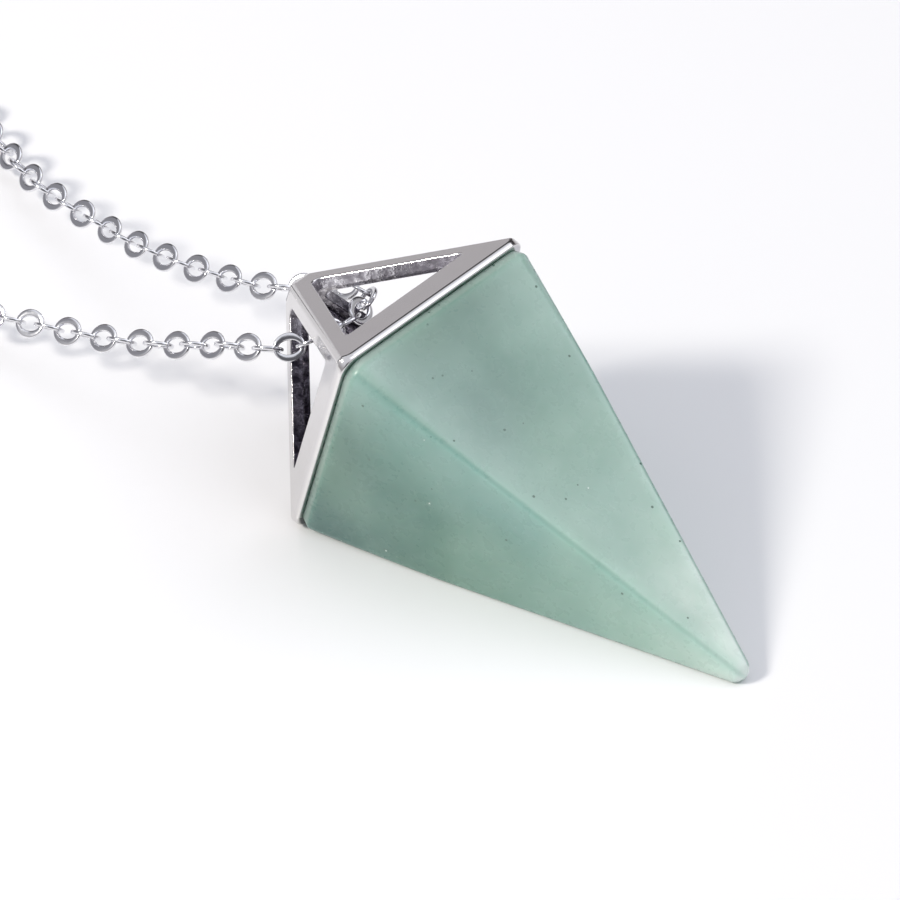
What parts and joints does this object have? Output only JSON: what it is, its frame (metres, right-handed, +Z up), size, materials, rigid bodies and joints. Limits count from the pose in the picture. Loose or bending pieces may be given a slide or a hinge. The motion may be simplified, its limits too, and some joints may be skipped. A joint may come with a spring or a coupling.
{
  "type": "crystal point pendant on a chain",
  "caption": "Long faceted green stone point glued under a pierced pyramid cap of polished metal, with a flat cable chain running through the cap's windows, lying on a table.",
  "frame": {"origin": "on the stone's resting face, on its middle line, a third of the way from its base edge to its tip, on the table", "axes": "+X from the cap to the stone's tip, along the table; +Z up; the chain leaves towards -X"},
  "size_m": [0.2383, 0.0872, 0.0173],
  "materials": {
    "stone": "polished milky green stone",
    "cap": "rhodium-plated, polished outside and as cast inside",
    "chain": "rhodium-plated, polished",
    "clasp": "rhodium-plated, polished"
  },
  "bodies": {
    "root": {"stone": "stone", "cap": "cap", "chain_front": "chain", "chain_back": "chain", "clasp": "clasp"}
  },
  "joints": []
}
